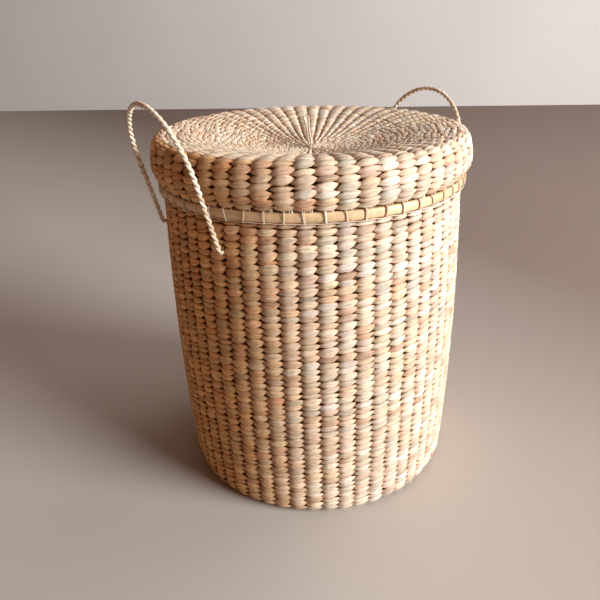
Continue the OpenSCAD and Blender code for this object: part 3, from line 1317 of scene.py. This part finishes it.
@dataclass
class Body:
    """The base and the wall, twined in one from the start knot to the shoulder."""

    weaving: Weaving
    finishes: Finishes
    bottom_r: float = 200.0 * MM
    foot_r: float = 8.0 * MM
    belly: float = 5.6 * MM
    edge_turn: float = 1.0 * MM
    edge_stake: float = 0.75
    edge_course: float = 100.0 * MM

    def __post_init__(self) -> None:
        """Reads the shoulder from the frame and draws the wall's line."""
        low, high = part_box("shoulder_wale")
        self.wall_top = low.z
        self.top_mid = high.x - self.weaving.half_t
        self.upright = self.wall_top - self.weaving.course
        self.bottom_mid = self.bottom_r - self.weaving.half_t
        self.line = self._line()

    def wall_mid(self, z: float) -> float:
        """Radius of the middle of the wall at a height."""
        t = min(max(z / self.upright, 0.0), 1.0)
        return self.bottom_mid + (self.top_mid - self.bottom_mid) * t + self.belly * 4 * t * (1 - t)

    def _line(self) -> Line:
        """Draws the line from the base's start, round the foot and up the wall.

        Returns:
            The line.
        """
        half, foot_z = self.weaving.half_t, self.weaving.half_t + self.foot_r
        turn_r = self.wall_mid(foot_z) - self.foot_r
        points = [(r, half) for r in np.linspace(self.weaving.start_r, turn_r, 40)]
        self.foot_run = turn_r - self.weaving.start_r
        for a in np.radians(np.linspace(-88, 0, 24)):
            points.append((turn_r + self.foot_r * math.cos(a), foot_z + self.foot_r * math.sin(a)))
        for z in np.linspace(foot_z, self.wall_top, 90)[1:]:
            points.append((self.wall_mid(z), z))
        return Line(points)

    def build(self) -> None:
        """Builds base and wall, inside and out."""
        self._base()
        self._wall()
        self._shoulder()

    def _base(self) -> None:
        """Builds the two faces of the base, with fewer columns near the middle."""
        w, shaded = self.weaving, self.finishes.shaded
        split = w.bye_stake_r - w.start_r
        for name, node, face, seed in (
            ("base_twining_under", "base_weave_under", Face.OUTER, 11),
            ("base_twining_upper", "base_weave_upper", Face.INNER, 12),
        ):
            look = w.hidden(face)
            middle = Band(self.line, 0.0, split, w.stakes // 2, w.first, look, seed)
            broad = Band(self.line, split, self.foot_run, w.stakes, w.first, look, seed + 40)
            shape = Shape.joined([middle.build(), broad.build()])
            piece(name, shape, shaded, "basket", node)
        knot = StartKnot(w, w.half_t, SHADED, 71, outer_below=True).build()
        piece("base_start_knot", knot, shaded, "basket", "base_boss")

    def _wall(self) -> None:
        """Builds the wall in four tiers outside and one face inside."""
        w, tiers = self.weaving, ("low", "middle", "upper", "high")
        courses = round((self.line.length - self.foot_run) / w.course)
        pitch = (self.line.length - self.foot_run) / courses
        cuts = range(len(tiers) + 1)
        at = [round(courses * i / len(tiers)) * pitch + self.foot_run for i in cuts]
        for i, tier in enumerate(tiers):
            ends = (at[i], at[i + 1])
            band = Band(self.line, *ends, w.stakes, w.first, w.seen(), 21 + i, side_shaded=1.0)
            nodes = ("wall_weave_outer", "wall_stitches") if i == 0 else ()
            piece(f"wall_twining_{tier}", band.build(), self.finishes.strand, "basket", *nodes)
        band = Band(self.line, at[0], at[-1], w.stakes, w.first, w.hidden(), 31)
        shaded = self.finishes.shaded
        piece("wall_twining_inside", band.build(), shaded, "basket", "wall_weave_inner")

    def _shoulder(self) -> None:
        """Builds the last round, whose strands fold over the top of the wall in two rows."""
        w = self.weaving
        edge = edge_line(self.top_mid, self.wall_top, self.edge_turn)
        form = Stitch(w.strand_t, w.stake_t * self.edge_stake, rings=9, sides=12, fill=1.0)
        look, made = Look(Face.OUTER, form, STRANDS), []
        for low, high, seed, shift in ((0.0, 1.75, 41, 0.0), (1.4, 3.14, 42, 0.5)):
            band = Band(
                edge, low * self.edge_turn, high * self.edge_turn, w.stakes, w.first, look, seed,
                self.edge_course, shift=shift, side_shaded=1.0,
            )
            made.append(band.build())
        shape = Shape.joined(made)
        piece("shoulder_stitches", shape, self.finishes.strand, "basket", "shoulder_wale")


@dataclass
class Collar:
    """The upright collar that stands inside the wall and holds the lid in place."""

    weaving: Weaving
    finishes: Finishes
    strand_t: float = 3.0 * MM
    pressed: float = 0.4 * MM
    edge_lay: float = 50.0 * MM
    edge_share: float = 0.95
    edge_lift: float = 0.4 * MM

    def build(self) -> None:
        """Builds both faces and the rolled edge."""
        w, strand = self.weaving, self.finishes.strand
        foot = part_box("collar_weave_outer")[0].z
        low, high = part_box("collar_rim")
        half = high.z - low.z
        middle = high.x - half
        line = Line([(middle, z) for z in np.linspace(foot, low.z, 30)])
        for name, node, face, rings, sides in (
            ("collar_twining_outside", "collar_weave_outer", Face.OUTER, 7, 7),
            ("collar_twining_inside", "collar_weave_inner", Face.INNER, 6, 6),
        ):
            form = Stitch(self.strand_t, w.stake_t - self.pressed, rings, sides)
            look = Look(face, form, STRANDS)
            band = Band(line, 0.0, line.length, w.stakes, w.first, look, 51 + face.value)
            piece(name, band.build(), strand, "basket", node)
        rope = Rope(half * self.edge_share, 3, self.edge_lay, 55, STRANDS, uneven=0.1)
        ring = ring_path(middle, low.z + self.edge_lift, 440)
        piece("collar_edge", rope.along(ring, True), strand, "basket", "collar_rim")


@dataclass
class Lid:
    """The lid: skirt, crest and dished top in one sheet, its cane rim and its pull."""

    weaving: Weaving
    finishes: Finishes
    swell: float = 8.3 * MM
    wide_h: float = 32.0 * MM
    crest_inset: float = 9.0 * MM
    crest_settled: float = 1.5 * MM
    crest_lean: float = 2.0 * MM
    dish_depth: float = 27.5 * MM
    strip_t: float = 3.8 * MM
    thread: float = 1.1 * MM
    skirt_lead: float = 1.0 * MM
    # How much painted shade the skirt and the top get on the side away from the key lamp
    skirt_side_shade: float = 0.9
    top_side_shade: float = 0.1
    end_sunk: float = 3.0 * MM
    end_bow: float = 1.6 * MM
    end_out: float = 2.6 * MM
    end_first: float = 0.30
    end_step: float = 0.07

    def __post_init__(self) -> None:
        """Reads the rim from the frame and draws the sheet's line."""
        w = self.weaving
        low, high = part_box("lid_rim_strip")
        self.bottom, self.strip_top, self.rim_r = low.z, high.z, high.x
        self.rim_mid = self.rim_r - self.strip_t - w.bed_gap - w.stake_t / 2
        self.wide_mid = self.rim_r + self.swell - w.half_t
        self.crest_r = self.wide_mid - self.crest_inset
        self.crest_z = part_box("lid_top_weave")[1].z - w.half_t - self.crest_settled
        self.dish_z = self.crest_z - self.dish_depth
        self.line = self._line()

    def _line(self) -> Line:
        """Draws the line from the rim strip over the crest to the middle of the dish.

        Returns:
            The line.
        """
        w = self.weaving
        foot = self.strip_top + self.thread + w.bed_gap
        wide_z = self.bottom + self.wide_h
        points = [(self.rim_mid, foot)]
        for t in np.linspace(0, 1, 24)[:-1]:
            swell = (self.wide_mid - self.rim_mid) * (1 - math.cos(math.pi * t)) / 2
            rise = (wide_z - foot - self.skirt_lead) * t
            points.append((self.rim_mid + swell, foot + self.skirt_lead + rise))
        for a in np.radians(np.linspace(0, 90, 28)):
            out = (self.wide_mid - self.crest_r) * math.cos(a)
            points.append((self.crest_r + out, wide_z + (self.crest_z - wide_z) * math.sin(a)))
        self.crest_run = Line(points).length
        level_r = w.start_r + w.course
        for t in np.linspace(0, 1, 90)[1:]:
            drop = self.dish_depth * (1 + math.cos(math.pi * t)) / 2
            points.append((self.crest_r + (level_r - self.crest_r) * t, self.dish_z + drop))
        points.append((w.start_r, self.dish_z))
        return Line(points)

    def build(self) -> None:
        """Builds the twined sheet, then the rim, then the stake ends."""
        self._sheet()
        Rim(self).build()
        self._stake_ends()

    def _sheet(self) -> None:
        """Builds skirt and top on both faces, with fewer columns near the middle."""
        w, line, crest = self.weaving, self.line, self.crest_run
        split = line.run_at_radius(w.bye_stake_r, crest)
        strand, shaded = self.finishes.strand, self.finishes.shaded
        for name, dress, look, seed, nodes in (
            ("lid_skirt_twining", strand, w.seen(), 81, ("lid_skirt_weave", "lid_skirt_stitches")),
            ("lid_skirt_inside", shaded, w.hidden(), 82, ("lid_skirt_lining",)),
        ):
            skirt = Band(line, 0.0, crest, w.stakes, w.first, look, seed, w.course)
            skirt.side_shaded = self.skirt_side_shade
            piece(name, self._leaned(skirt.build()), dress, "lid", *nodes)
        for name, dress, look, seed, node in (
            ("lid_top_twining", strand, w.seen(), 83, "lid_top_weave"),
            ("lid_top_inside", shaded, w.hidden(), 84, "lid_under_weave"),
        ):
            broad = Band(line, crest, split, w.stakes, w.first, look, seed, w.top_course)
            broad.side_shaded = self.top_side_shade
            rest = (split, line.length, w.stakes // 2, w.first)
            middle = Band(line, *rest, look, seed + 40, w.top_course)
            top = Shape.joined([broad.build(), middle.build()])
            piece(name, self._leaned(top), dress, "lid", node)
        knot = StartKnot(w, self.dish_z, STRANDS, 91).build()
        piece("lid_start_knot", knot, strand, "lid", "lid_boss")

    def _leaned(self, sheet: Shape) -> Shape:
        """Lifts the crest a little on the left and drops it on the right.

        Args:
            sheet: a shape of the lid's twining, which is changed.

        Returns:
            The same shape.
        """
        share = ease((sheet.points[:, 2] - self.strip_top) / (self.crest_z - self.strip_top))
        sheet.points[:, 2] -= self.crest_lean * share * sheet.points[:, 0] / self.crest_r
        return sheet

    def _stake_ends(self) -> None:
        """Builds the pale ends of split stakes that peep out above the rim strip."""
        w, rng = self.weaving, np.random.default_rng(95)
        up = np.linspace(0, 1, 5)
        radius = self.rim_mid + self.end_out + up**2 * self.end_bow
        width = np.array([0.8, 0.8, 0.75, 0.6, 0.3]) * MM
        made = []
        for i in range(w.stakes):
            for k in range(int(rng.integers(1, 4))):
                along = i + self.end_first + self.end_step * k + rng.normal(0, 0.02)
                tall = rng.uniform(3.0, 6.5) * MM
                height = self.strip_top - self.end_sunk + up * (tall + self.end_sunk)
                path = placed(radius, w.first + w.column * along, height)
                made.append(tube(path, width, width * 0.8, ROPES.pick(rng, 1), 6))
        piece("lid_stake_ends", Shape.joined(made), self.finishes.stake_end, "lid")


@dataclass
class Rim:
    """The two cane strips round the lid's edge and the thread that lashes them."""

    lid: Lid
    slices: int = 448
    sides: int = 14
    ripple: float = 0.15 * MM
    eased: float = 0.3 * MM
    pinch: float = 0.10
    twin_share: float = 0.35
    twin_step: float = 0.055
    lean: float = 0.02
    foot_in: float = 0.4 * MM
    foot_up: float = 0.35 * MM
    foot_wave: tuple[float, float] = (0.2 * MM, 0.3 * MM)
    foot_share: float = 0.45

    def build(self) -> None:
        """Builds both strips and the lashing."""
        lid, finishes = self.lid, self.lid.finishes
        gap = lid.weaving.stake_t / 2 + lid.weaving.bed_gap
        for name, side, seed, node in (
            ("rim_cane_outer", 1, 101, "lid_rim_strip"),
            ("rim_cane_inner", -1, 102, "lid_inner_strip"),
        ):
            strip = self._strip(lid.rim_mid + side * gap, side, seed)
            piece(name, strip, finishes.cane, "lid", node)
        piece("rim_lashing", self._lashing(), finishes.thread, "lid", "lid_lashing")

    def _strip(self, flat_r: float, side: int, seed: int) -> Shape:
        """One strip of split cane, flat towards the stakes.

        Args:
            flat_r: radius of its flat face.
            side: 1 where it lies outside the stakes, -1 inside.
            seed: for its random numbers.

        Returns:
            The strip as a shape.
        """
        lid, rng = self.lid, np.random.default_rng(seed)
        tall = lid.strip_top - lid.bottom
        edge = tall - 2 * self.eased
        angle = 2 * np.pi * np.arange(self.slices)[:, None] / self.slices
        wave = sum(
            rng.normal(0, 1) * np.sin(angle * k + rng.uniform(0, 6.28)) / k for k in (3, 5, 9, 14)
        )
        psi = np.linspace(-1, 1, self.sides - 3)
        bulge = np.concatenate([lid.strip_t * (1 - np.abs(psi) ** 2.6) ** 0.55, np.zeros(3)])
        rise = np.concatenate([psi * tall / 2, [edge / 2, 0, -edge / 2]])
        phase = (angle - lid.weaving.first) / lid.weaving.column * 2 * np.pi
        radius = flat_r + side * bulge * (1 - self.pinch * np.cos(phase) ** 8)
        points = placed(radius, angle, lid.bottom + tall / 2 + rise + self.ripple * wave)
        quads = grid_faces(self.slices, self.sides, True)
        if side < 0:
            quads = quads[:, ::-1]
        span = np.minimum(angle, 2 * np.pi - angle) * flat_r * 100
        grain = np.stack(np.broadcast_arrays(span, rise / tall * 2), -1).reshape(-1, 2)
        points, none = points.reshape(-1, 3), np.empty((0, 3), int)
        return Shape(points, quads, none, grain, np.ones_like(points))

    def _lashing(self) -> Shape:
        """Winds thread round both strips at every stake, and lays one along their foot.

        Returns:
            The threads as one shape.
        """
        lid, rng = self.lid, np.random.default_rng(103)
        w, made = lid.weaving, []
        reach = w.stake_t / 2 + 2 * w.bed_gap + lid.strip_t + lid.thread / 2
        for i in range(w.stakes):
            lean = rng.normal(self.lean, 0.02)
            for twin in range(2 if rng.random() < self.twin_share else 1):
                wide = rng.uniform(0.75, 1.2) * lid.thread * (1.05 - 0.35 * twin)
                turn = w.first + w.column * (i + rng.normal(0, 0.03) + self.twin_step * twin)
                path = self._loop(turn, lean * w.column * (1 - 0.5 * twin), reach)
                tint = ROPES.pick(rng, 1, 0.05)
                made.append(tube(path, wide, wide * 0.6, tint, 6, True, float(i)))
        angle = np.linspace(0, 2 * math.pi, 10 * w.stakes + 1)
        phase = (angle - w.first) / w.column * 2 * np.pi
        radius = lid.rim_mid + reach - self.foot_in + self.foot_wave[0] * np.cos(phase)
        height = lid.bottom + self.foot_up + self.foot_wave[1] * np.sin(phase)
        path, size = placed(radius, angle, height), lid.thread * self.foot_share
        made.append(tube(path, size, size, ROPES.pick(rng, 1), 6, True))
        return Shape.joined(made)

    def _loop(self, turn: float, lean: float, reach: float) -> np.ndarray:
        """The path of one turn of thread round both strips.

        Args:
            turn: its bearing.
            lean: how far its outer side leans, as an angle.
            reach: how far it stands from the middle of the stakes.

        Returns:
            The path.
        """
        lid = self.lid
        half = (lid.strip_top - lid.bottom) / 2
        corners = [
            placed(lid.rim_mid + out * reach, turn + side * lean,
                   lid.bottom + half + up * (half + lid.thread / 2))
            for out, up, side in (
                (-1, 0.4, 0), (-1, -0.4, 0), (-0.7, -1.02, 0), (0.6, -1.03, 1), (0.97, -0.8, 1),
                (1.02, 0, 0), (0.97, 0.8, -1), (0.6, 1.03, -1), (-0.7, 1.02, 0),
            )
        ]
        return smooth_path(corners, 1.4 * MM, True)


@dataclass
class Pull:
    """The small cord loop in the middle of the lid, knotted on its under side."""

    lid: Lid
    length: float = 50.0 * MM
    eye: float = 7.0 * MM
    cord: float = 3.0 * MM
    lay: float = 7.5 * MM
    knot: float = 9.0 * MM
    rise: float = math.radians(40.0)
    bearing: float = math.radians(98.0)
    stem_gap: float = 0.8 * MM
    wrap_r: float = 2.0 * MM
    wrap_drop: float = 2.3 * MM
    wrap_pitch: float = 0.1 * MM
    wrap_cord: float = 1.4 * MM

    def build(self) -> None:
        """Builds the loop that swings, and the stem, wrap and knot that stay."""
        finishes, pivot = self.lid.finishes, joint_place("pull_swing")
        loop = self._rope(self._loop(pivot), 111, 7)
        piece("pull_cord_loop", loop, finishes.rope, "lid_pull", "lid_pull_loop")
        under = self.lid.dish_z - self.lid.weaving.half_t - self.knot / 2
        stem = [UP * z for z in (under, self.lid.dish_z, pivot[2] - self.stem_gap)]
        wrap = [
            placed(self.wrap_r, a, pivot[2] - self.wrap_drop + self.wrap_pitch * a)
            for a in np.linspace(0, 4 * math.pi, 30)
        ]
        wrap_rope = Rope(self.wrap_cord / 2, 2, 4 * MM, 114, sides=6)
        shapes = [
            self._rope(stem, 112, 6),
            stopper(UP * under, UP, self.knot, self.cord, 113),
            wrap_rope.along(smooth_path(wrap, 0.6 * MM)),
        ]
        piece("pull_cord_knot", Shape.joined(shapes), finishes.rope, "lid", "lid_pull_knot")

    def _rope(self, points: list[np.ndarray], seed: int, sides: int) -> Shape:
        """The pull's cord through points."""
        rope = Rope(self.cord / 2, 2, self.lay, seed, sides=sides)
        return rope.along(smooth_path(points, 0.8 * MM))

    def _loop(self, pivot: np.ndarray) -> list[np.ndarray]:
        """Draws the loop from its pivot out to its end and back.

        Args:
            pivot: where it swings.

        Returns:
            The points of its path.
        """
        lean = level(self.bearing)
        side = np.cross(UP, lean) * self.eye / 2
        ahead = (lean * math.cos(self.rise) + UP * math.sin(self.rise)) * self.length
        legs = (
            (0.0, 0.28), (0.12, 0.42), (0.35, 0.46), (0.6, 0.5), (0.8, 0.75), (0.92, 0.95), (1.0, 0.55),
        )
        there = [pivot + ahead * run + side * out for run, out in legs]
        back = [pivot + ahead * run - side * out for run, out in reversed(legs)]
        return there + back


def stopper(centre: np.ndarray, axis: np.ndarray, across: float, cord: float, seed: int) -> Shape:
    """An overhand stopper knot.

    Args:
        centre: the middle of the knot.
        axis: the direction in which the rope leaves it.
        across: its outer diameter.
        cord: the rope's diameter.
        seed: for its random numbers.

    Returns:
        The knot as a shape.
    """
    first = np.cross(axis, off_axis(axis))
    first /= np.linalg.norm(first)
    second = np.cross(axis, first)
    scale = (across - cord) / 6
    points = []
    for a in np.linspace(0, 2 * math.pi, 37)[:-1]:
        x, y = math.sin(a) + 2 * math.sin(2 * a), math.cos(a) - 2 * math.cos(2 * a)
        points.append(centre + scale * (first * x + second * y - axis * math.sin(3 * a) * 1.3))
    rope = Rope(cord / 2, 2, cord * 2.7, seed, sides=6)
    return rope.along(smooth_path(points, cord / 5, True), True)


@dataclass
class Handle:
    """One rope handle: both ends go through the wall and are knotted inside it."""

    weaving: Weaving
    finishes: Finishes
    name: str
    bearing: float
    rise: float
    seed: int
    columns: int = 7
    lean: float = math.radians(13.8)
    rope: float = 6.0 * MM
    fullness: float = 1.1
    knot: float = 15.0 * MM
    lay: float = 17.0 * MM
    clear: float = 4.0 * MM
    wall_cover: float = 6.0 * MM

    def build(self, body: Body) -> None:
        """Builds the rope and its knots.

        Args:
            body: the wall that the rope goes through.
        """
        node = f"{self.name}_handle"
        foot = UP * joint_place(f"{node}_swing")[2]
        wall = body.wall_mid(foot[2]) + self.weaving.half_t
        rope = Rope(self.rope / 2 * self.fullness, 2, self.lay, self.seed)
        arch = rope.along(self._arch(foot, wall + self.clear))
        piece(f"{node}_rope", arch, self.finishes.rope, node, node)
        ends = self._ends(foot, wall)
        piece(f"{node}_stoppers", ends, self.finishes.rope, "basket", f"{node}_knots")

    @property
    def half_angle(self) -> float:
        """Half the angle between its two ends."""
        return self.columns * self.weaving.column / 2

    def _arch(self, foot: np.ndarray, hinge_r: float) -> np.ndarray:
        """Draws the path of the rope from one end over the top to the other.

        Args:
            foot: the place on the basket's axis at the height of its ends.
            hinge_r: the radius of its ends.

        Returns:
            Even samples of the path.
        """
        out = level(self.bearing)
        side = np.cross(UP, out)
        half_w, mid_r = hinge_r * math.sin(self.half_angle), hinge_r * math.cos(self.half_angle)
        up = UP * math.cos(self.lean) + out * math.sin(self.lean)
        base, leg, side = out * mid_r + foot, self.rise - half_w, side * half_w
        shares = (0.0, 0.25, 0.5, 0.75)
        points = [base + side + up * leg * t for t in shares]
        for a in np.linspace(0, math.pi, 13):
            points.append(base + up * leg + side * math.cos(a) + up * half_w * math.sin(a))
        points += [base - side + up * leg * t for t in reversed(shares)]
        return smooth_path(points, 1.3 * MM)

    def _ends(self, foot: np.ndarray, wall: float) -> Shape:
        """Leads the rope ends through the wall to their knots inside.

        Args:
            foot: the place on the basket's axis at the height of its ends.
            wall: the outer radius of the wall there.

        Returns:
            Both ends as one shape.
        """
        inside = wall - 2 * self.weaving.half_t - self.knot / 2
        radii = (inside, wall - self.wall_cover, wall + self.clear)
        shapes = []
        for i, sign in enumerate((-1, 1)):
            out = level(self.bearing + sign * self.half_angle)
            stem = [out * r + foot for r in radii]
            rope = Rope(self.rope / 2, 2, self.lay, self.seed + 5 + i)
            shapes.append(rope.along(smooth_path(stem, 1.2 * MM)))
            shapes.append(stopper(stem[0], out, self.knot, self.rope * 0.9, self.seed + 8 + i))
        return Shape.joined(shapes)


# ---- Stage ----


@dataclass(frozen=True)
class Lamp:
    """A round soft lamp, with its places in metres and its power in watts."""

    name: str
    place: tuple[float, float, float]
    target: tuple[float, float, float]
    size: float
    power: float
    tone: str

    def hang(self) -> None:
        """Adds the lamp to the scene, turned to its target."""
        data = bpy.data.lights.new(self.name, "AREA")
        data.shape = "DISK"
        data.size = self.size
        data.energy = self.power
        data.color = colour(self.tone)
        lamp = bpy.data.objects.new(self.name, data)
        bpy.context.scene.collection.objects.link(lamp)
        lamp.location = self.place
        away = Vector(self.place) - Vector(self.target)
        lamp.rotation_euler = away.to_track_quat("Z", "Y").to_euler()


# A wide low key from the right, a soft lamp above and a faint warm one in front on the left
LAMPS = (
    Lamp("key", (4.5, -2.3, 1.9), (0, 0, 0.25), 3.0, 585.0, "f8fdff"),
    Lamp("top", (1.6, 1.0, 2.8), (0, 0, 0), 2.4, 30.0, "fdf2f0"),
    Lamp("fill", (-1.9, -1.9, 0.7), (0, 0, 0.25), 1.6, 2.6, "ff7838"),
)


@dataclass
class Stage:
    """Floor, backdrop, lights and camera, with lengths in metres and angles in radians."""

    eye: tuple[float, float, float] = (0.0, -0.8281, 0.6374)
    pitch: float = 0.4487
    yaw: float = -0.0265
    roll: float = -0.0370
    lens: float = 36.0
    sensor: float = 36.0
    floor_tone: str = "c0b7ae"
    # The floor is painted darker towards the back right, as shade
    floor_painted_shade_tone: str = "8b7a70"
    floor_near: float = 6.0
    floor_far: float = 9.0
    wall_tone: str = "dfd8d4"
    wall_far: float = 3.72
    wall_skew: float = -0.152
    wall_top: float = 7.0
    room_tone: str = "ffc49c"
    room_strength: float = 0.105

    def build(self) -> None:
        """Builds everything that isn't the basket."""
        self._ground()
        for lamp in LAMPS:
            lamp.hang()
        self._room()
        self._camera()

    def _ground(self) -> None:
        """Lays the floor and stands the pale wall far behind."""
        near, far, top = -self.floor_near, self.floor_far, self.wall_top
        left, right = ((x, self.wall_far + self.wall_skew * x) for x in (-far, far))
        floor = ((-far, near, 0), (far, near, 0), (far, far, 0), (-far, far, 0))
        wall = ((*left, 0), (*right, 0), (*right, top), (*left, top))
        for name, tone, painted_shade_tone, corners in (
            ("floor", self.floor_tone, self.floor_painted_shade_tone, floor),
            ("backdrop", self.wall_tone, self.wall_tone, wall),
        ):
            mesh = bpy.data.meshes.new(name)
            mesh.from_pydata(corners, [], [(0, 1, 2, 3)])
            made = bpy.data.objects.new(name, mesh)
            bpy.context.scene.collection.objects.link(made)
            made.data.materials.append(FloorFinish(name + "_paint", tone, painted_shade_tone).build())

    def _room(self) -> None:
        """Gives the room its faint warm light."""
        world = bpy.data.worlds.new("room")
        world.use_nodes = True
        shade = world.node_tree.nodes["Background"]
        shade.inputs["Color"].default_value = opaque(self.room_tone)
        shade.inputs["Strength"].default_value = self.room_strength
        bpy.context.scene.world = world

    def _camera(self) -> None:
        """Sets the camera from its place, pitch, yaw and roll."""
        flat = math.cos(self.pitch)
        ahead = (math.sin(self.yaw) * flat, math.cos(self.yaw) * flat, -math.sin(self.pitch))
        right = np.cross(ahead, UP)
        right /= np.linalg.norm(right)
        above = np.cross(right, ahead)
        c, s = math.cos(self.roll), math.sin(self.roll)
        turned, lifted = c * right + s * above, -s * right + c * above
        data = bpy.data.cameras.new("camera")
        data.lens, data.sensor_width = self.lens, self.sensor
        camera = bpy.data.objects.new("camera", data)
        bpy.context.scene.collection.objects.link(camera)
        axes = np.stack([turned, lifted, -np.array(ahead)], axis=1)
        camera.matrix_world = Matrix.Translation(self.eye) @ Matrix(axes.tolist()).to_4x4()
        bpy.context.scene.camera = camera


def dress_stakes(finishes: Finishes) -> None:
    """Gives the stakes that stay as packed their own finish.

    Args:
        finishes: the materials.
    """
    for name in ("side_stakes", "bye_stakes", "collar_stakes", "lid_stakes", "lid_bye_stakes"):
        node = frame["nodes"][name]
        node.data.materials.clear()
        node.data.materials.append(finishes.stake.material)


def main() -> None:
    """Builds the basket from the floor up, then the stage."""
    logging.basicConfig(level=logging.INFO, format="%(name)s %(message)s")
    bpy.context.scene.view_settings.view_transform = "Standard"
    weaving, finishes = Weaving(), Finishes.made()
    body = Body(weaving, finishes)
    body.build()
    Collar(weaving, finishes).build()
    lid = Lid(weaving, finishes)
    lid.build()
    Pull(lid).build()
    for name, bearing, rise, seed in (
        ("left", weaving.left, 168 * MM, 121),
        ("right", weaving.left + math.pi, 142 * MM, 141),
    ):
        Handle(weaving, finishes, name, bearing, rise, seed).build(body)
    dress_stakes(finishes)
    Stage().build()


if __name__ == "__main__":
    main()
